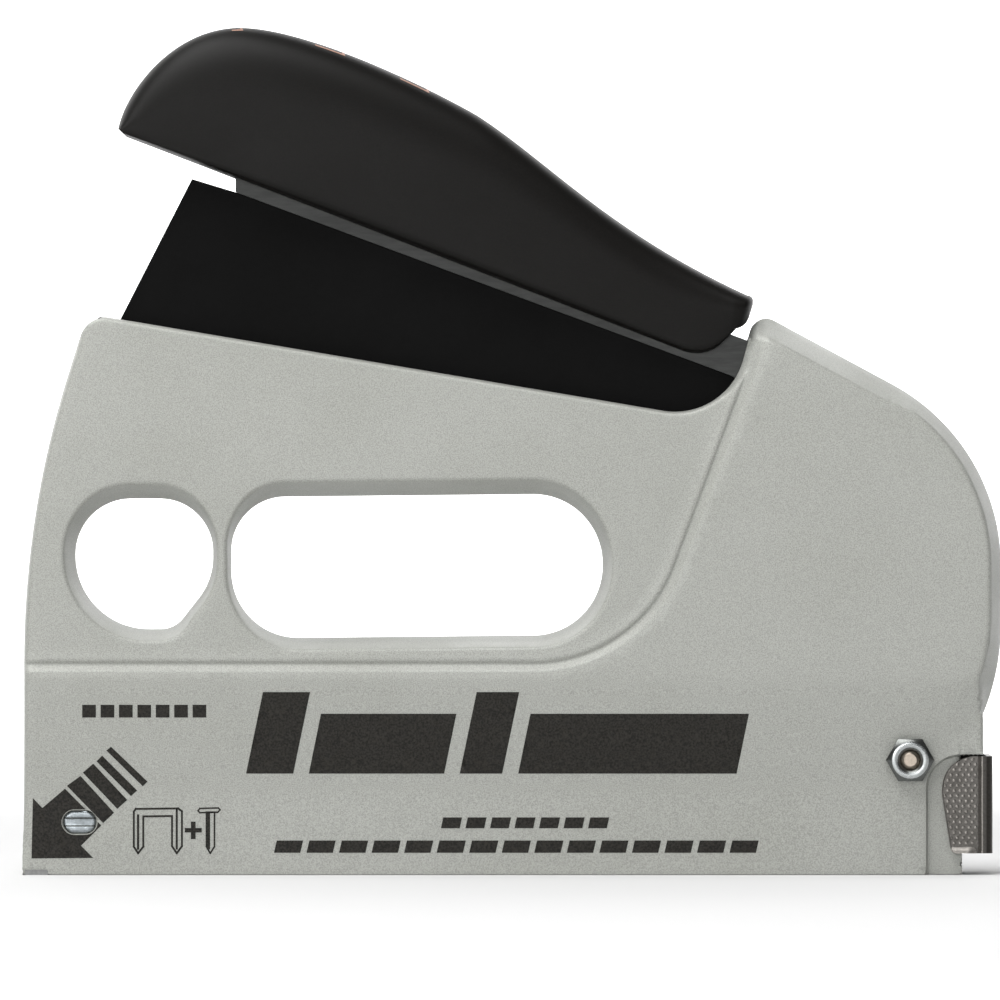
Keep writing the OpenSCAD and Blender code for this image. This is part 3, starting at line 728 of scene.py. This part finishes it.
def clip_skin():
    """U-shaped clip of sheet steel: rounded folds, knurled pads, lower ends flared out."""
    outer, t, bend, end = 11.5, 1.15, 2.2, 101.9
    outline = rounded(CLIP, 0.4)
    rows = np.linspace(4.55, 25.15, 150)
    reach = []
    for z in rows:
        i = np.arange(len(outline))
        p, q = outline, np.roll(outline, -1, 0)
        hit = (p[:, 1] > z) != (q[:, 1] > z)
        xs = p[hit, 0] + (z - p[hit, 1]) / (q[hit, 1] - p[hit, 1]) * (q[hit, 0] - p[hit, 0])
        reach.append(xs.min())
    reach = np.array(reach)
    cols = 84
    verts, faces = [], []
    # path of the sheet's outer face seen from above: an arm, the fold, the back, and the same again
    fold = np.linspace(0, math.pi / 2, 9)

    def path(start_x):
        arm = np.stack([np.linspace(start_x, end - bend, cols), np.full(cols, -outer)], 1)
        nor = np.tile([0.0, -1.0], (cols, 1))
        rnd = np.stack([end - bend + bend * np.sin(fold), -outer + bend - bend * np.cos(fold)], 1)
        rn = np.stack([np.sin(fold), -np.cos(fold)], 1)
        back = np.stack([np.full(7, end), np.linspace(-outer + bend, 0, 7)], 1)
        bn = np.tile([1.0, 0.0], (7, 1))
        half, hn = np.vstack([arm, rnd[1:], back[1:]]), np.vstack([nor, rn[1:], bn[1:]])
        return np.vstack([half, half[-2::-1] * [1, -1]]), np.vstack([hn, hn[-2::-1] * [1, -1]])

    grid = []
    for z, x0 in zip(rows, reach):
        pts, nor = path(x0)
        arm = np.abs(pts[:, 1]) > outer - 0.01
        bump = np.zeros(len(pts))
        pad = arm & (pts[:, 0] < 98.6) & (pts[:, 0] > x0 + 0.35)
        for k in range(17):
            zc, off = 6.7 + 1.11 * k, 0.65 * (k % 2)
            if abs(z - zc) > 0.5:
                continue
            xc = np.round((pts[:, 0] - 91 - off) / 1.3) * 1.3 + 91 + off
            dot = 0.24 * np.clip(1 - np.hypot(pts[:, 0] - xc, z - zc) / 0.36, 0, 1)
            bump = np.maximum(bump, np.where(pad, dot, 0))
        # rolled edge all round the arm, and a lip that flares out along the bottom
        roll = 0.18 * arm * (1 - ramp(pts[:, 0] - x0, 0, 0.35))
        lip = 0.6 * (1 - ramp(np.array([z]), 4.5, 6.3)[0]) * arm * (1 - ramp(pts[:, 0], 96.6, 98.9))
        lift = (bump - roll + lip)[:, None]
        grid.append((pts + nor * lift, pts + nor * (lip[:, None] - t), z))
    m = len(grid[0][0])
    for out, inn, z in grid:
        verts += [(x * MM, y * MM, z * MM) for x, y in out]
        verts += [(x * MM, y * MM, z * MM) for x, y in inn]
    for r in range(len(rows) - 1):
        a, b = r * 2 * m, (r + 1) * 2 * m
        for i in range(m - 1):
            faces.append((a + i, a + i + 1, b + i + 1, b + i))
            faces.append((a + m + i, b + m + i, b + m + i + 1, a + m + i + 1))
        faces.append((a, b, b + m, a + m))
        faces.append((a + m - 1, a + 2 * m - 1, b + 2 * m - 1, b + m - 1))
    top = (len(rows) - 1) * 2 * m
    for i in range(m - 1):
        faces.append((i, i + m, i + m + 1, i + 1))
        faces.append((top + i, top + i + 1, top + i + 1 + m, top + i + m))
    ob = new_object("latch_clip_skin", verts, faces)
    ob.data.materials.append(CLIP_STEEL)
    ob.data.materials.append(CLIP_SHADE)
    ob.data.materials.append(CLIP_HIGHLIGHT)
    for f in ob.data.polygons:
        x, y, z = (c / MM for c in f.center)
        # painted highlight: the knurl tops, the flared lip and the ridge of the fold get the lighter copy
        worn = (abs(y) > outer + 0.06 and x < 98.7) or (abs(y) > outer - 0.02 and 99.5 < x < 99.75)
        # painted shade: the rear web past the fold and the strip between pad and ridge get the darker copy
        f.material_index = 2 if worn else int(x > 100.5 or 98.75 < x < 99.5)
    return tidy_normals(ob, 0.000002, 50)


def slotted_heads():
    """Heads of the two nose screws, cut to the oval window, each with a wide slot; shanks behind."""
    parts = []
    for side in (-1, 1):
        outline = oval_loop(WINDOW_R, 0.2)
        levels = np.array([0.3, 0.6, 0.72, 0.94, 1.06, 1.3, 1.6, 1.9, 2.2])
        gx, gz = np.meshgrid(np.arange(-4, 4.01, 0.3), np.r_[-levels[::-1], 0, levels])
        inner = np.stack([gx.ravel() + SCREW_AT[0], gz.ravel() + SCREW_AT[1]], 1)
        v, f = triangulate([outline], inner[signed(inner, outline) > 0.08])
        dz = np.abs(v[:, 1] - SCREW_AT[1])
        h = 11.85 - 0.5 * (1 - ramp(dz, 0.68, 0.98)) - 0.25 * (1 - ramp(signed(v, outline), 0, 0.3))
        n = len(v)
        verts = [(x * MM, side * w * MM, z * MM) for (x, z), w in zip(v, h)]
        faces = [tuple(int(i) for i in t) for t in f]
        rim = list(range(n, n + len(outline)))
        verts += [(x * MM, side * 11.06 * MM, z * MM) for x, z in outline]
        turn = np.roll(np.arange(len(outline)), -1).tolist()
        faces += [(i, j, rim[j], rim[i]) for i, j in enumerate(turn)]
        # shank
        a = np.linspace(0, 2 * math.pi, 24, endpoint=False)
        for y in (11.1, 8.7):
            verts += [((SCREW_AT[0] + 1.55 * math.cos(t)) * MM, side * y * MM,
                       (SCREW_AT[1] + 1.55 * math.sin(t)) * MM) for t in a]
        b = n + len(outline)
        faces += [(b + i, b + (i + 1) % 24, b + 24 + (i + 1) % 24, b + 24 + i) for i in range(24)]
        faces.append(tuple(range(b + 24, b + 48)))
        ob = new_object(f"nose_screw_{'left' if side < 0 else 'right'}", verts, faces)
        ob.data.materials.append(HEAD_METAL)
        ob.data.materials.append(NUT_SHADE)
        for face in ob.data.polygons:
            dz = abs(face.center.z / MM - SCREW_AT[1])
            # painted shade: the slot's walls get the darker metal, so they show as dark lines
            face.material_index = int(0.66 < dz < 1.0 and face.center.y * side > 11.2 * MM)
        tidy_normals(ob, 0.000002, 40)
        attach(ob, "body")
        parts.append(ob)
    for ob in parts:
        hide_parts("nose_screws")


slotted_heads()
nut = hex_nut()
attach(nut, "body")
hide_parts("rear_hex_nut")
clip = clip_skin()
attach(clip, "magazine_rod")
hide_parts("latch_clip")

LOOKS = {
    "nose_guide_plate": FOOT_STEEL, "nose_screws": ZINC, "housing_screws": ZINC, "rear_bolt": BOLT_METAL,
    "handle_pivot_pin": STEEL, "lever_pivot_pin": STEEL, "lever_bumper": RUBBER,
    "handle_channel": DARK_STEEL, "pinch_guard": GUARD, "channel_rivets": STEEL, "roller_pin": STEEL,
    "handle_roller": STEEL, "lifting_lever": STEEL, "lever_bushing": BRASS, "spring_cap": STEEL,
    "spring_seat": STEEL, "power_spring": SPRING_STEEL, "striker_blade": STEEL,
    "magazine_channel": STEEL, "staple_rail": STEEL, "staple_strip": ZINC, "follower": STEEL,
    "pusher_rod": STEEL, "rod_stop_ring": DARK_STEEL, "pusher_spring": SPRING_STEEL, "rod_block": STEEL,
    "latch_cap": GUARD, "latch_clip": CLIP_STEEL, "rear_hex_nut": ZINC,
}
for name, mat in LOOKS.items():
    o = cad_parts[name]
    o.data.materials.clear()
    o.data.materials.append(mat)
    if "spring" not in name and name != "housing_screws":
        bevel = o.modifiers.new("soft edges", "BEVEL")
        bevel.width = 0.12 * MM
        bevel.segments = 2
        bevel.limit_method = "ANGLE"
        bevel.angle_limit = math.radians(40)
        bevel.use_clamp_overlap = True

# ------------------------------------------------------------------ camera, light, floor
scene = bpy.context.scene
cam_data = bpy.data.cameras.new("camera")
cam = bpy.data.objects.new("camera", cam_data)
scene.collection.objects.link(cam)
scene.camera = cam
# camera's distance, how far the casting's face stands towards it, the width it sees there, the view's middle
DIST, FACE_AHEAD, VIEW_WIDTH, VIEW_X, VIEW_Z = 2.4, 0.007, 0.2125, -0.00266, 0.0795
cam_data.sensor_width = 36
cam_data.lens = 36 * (DIST - FACE_AHEAD) / VIEW_WIDTH
cam.location = (VIEW_X, -DIST, VIEW_Z)
cam.rotation_euler = (math.radians(90), 0, 0)

floor_mat = bpy.data.materials.new("paper")
floor_mat.use_nodes = True
ft = floor_mat.node_tree
fb = ft.nodes["Principled BSDF"]
fb.inputs["Base Color"].default_value = (0.67, 0.67, 0.67, 1)
fb.inputs["Roughness"].default_value = 0.9
fb.inputs["Emission Color"].default_value = (1, 1, 1, 1)
# painted light: the floor glows, more strongly away from the object, so that it is paler there; it is also
# clear from behind and below, so that no view is blocked
place = ft.nodes.new("ShaderNodeTexCoord")
reach = ft.nodes.new("ShaderNodeVectorMath")
reach.operation = "LENGTH"
glow = ft.nodes.new("ShaderNodeMapRange")
glow.inputs["From Min"].default_value = 0.45
glow.inputs["From Max"].default_value = 1.6
glow.inputs["To Max"].default_value = 1.0
clear = ft.nodes.new("ShaderNodeBsdfTransparent")
turned = ft.nodes.new("ShaderNodeNewGeometry")
either = ft.nodes.new("ShaderNodeMixShader")
ft.links.new(place.outputs["Object"], reach.inputs[0])
ft.links.new(reach.outputs["Value"], glow.inputs["Value"])
ft.links.new(glow.outputs["Result"], fb.inputs["Emission Strength"])
ft.links.new(turned.outputs["Backfacing"], either.inputs["Fac"])
ft.links.new(fb.outputs["BSDF"], either.inputs[1])
ft.links.new(clear.outputs["BSDF"], either.inputs[2])
ft.links.new(either.outputs["Shader"], ft.nodes["Material Output"].inputs["Surface"])
SWEEP_R, SWEEP_Y, FLOOR_REACH, FLOOR_GAP = 0.9, 2.7, 5.0, 0.00002
prof = [(-FLOOR_REACH, 0.0)]
prof += [(SWEEP_Y + SWEEP_R * math.sin(a), SWEEP_R - SWEEP_R * math.cos(a))
         for a in np.linspace(0, math.pi / 2, 24)]
prof += [(SWEEP_Y + SWEEP_R, 4.0)]
fv, ff = [], []
for y, z in prof:
    fv += [(-FLOOR_REACH, y, z - FLOOR_GAP), (FLOOR_REACH, y, z - FLOOR_GAP)]
for i in range(len(prof) - 1):
    ff.append((2 * i, 2 * i + 1, 2 * i + 3, 2 * i + 2))
floor = new_object("floor", fv, ff)
floor.data.materials.append(floor_mat)


def lamp(name, at, aim, size, power):
    d = bpy.data.lights.new(name, "AREA")
    d.shape = "RECTANGLE"
    d.size, d.size_y = size
    d.energy = power
    o = bpy.data.objects.new(name, d)
    scene.collection.objects.link(o)
    o.location = at
    o.visible_camera = False
    v = np.array(aim, float) - np.array(at, float)
    o.rotation_euler = Vector(v).to_track_quat("-Z", "Y").to_euler()


lamp("top", (-0.3, -0.3, 1.1), (0, 0.0, 0.08), (1.2, 0.8), 18.8)
lamp("front", (-0.5, -1.8, 0.4), (0, 0, 0.08), (1.2, 0.7), 12.4)
lamp("back", (0.0, 1.5, 1.6), (0.0, 3.2, 0.2), (3.0, 2.2), 75)
lamp("rear fill", (0.7, 1.9, 0.7), (0, 0, 0.08), (1.2, 0.8), 2)
world = bpy.data.worlds.new("world")
scene.world = world
world.use_nodes = True
# the sky lights the object softly, and shows as white behind it
sky = world.node_tree.nodes["Background"]
sky.inputs["Color"].default_value = (1, 1, 1, 1)
rays = world.node_tree.nodes.new("ShaderNodeLightPath")
level = world.node_tree.nodes.new("ShaderNodeMapRange")
level.inputs["To Min"].default_value = 0.12
level.inputs["To Max"].default_value = 1.0
world.node_tree.links.new(rays.outputs["Is Camera Ray"], level.inputs["Value"])
world.node_tree.links.new(level.outputs["Result"], sky.inputs["Strength"])
scene.view_settings.view_transform = "Standard"
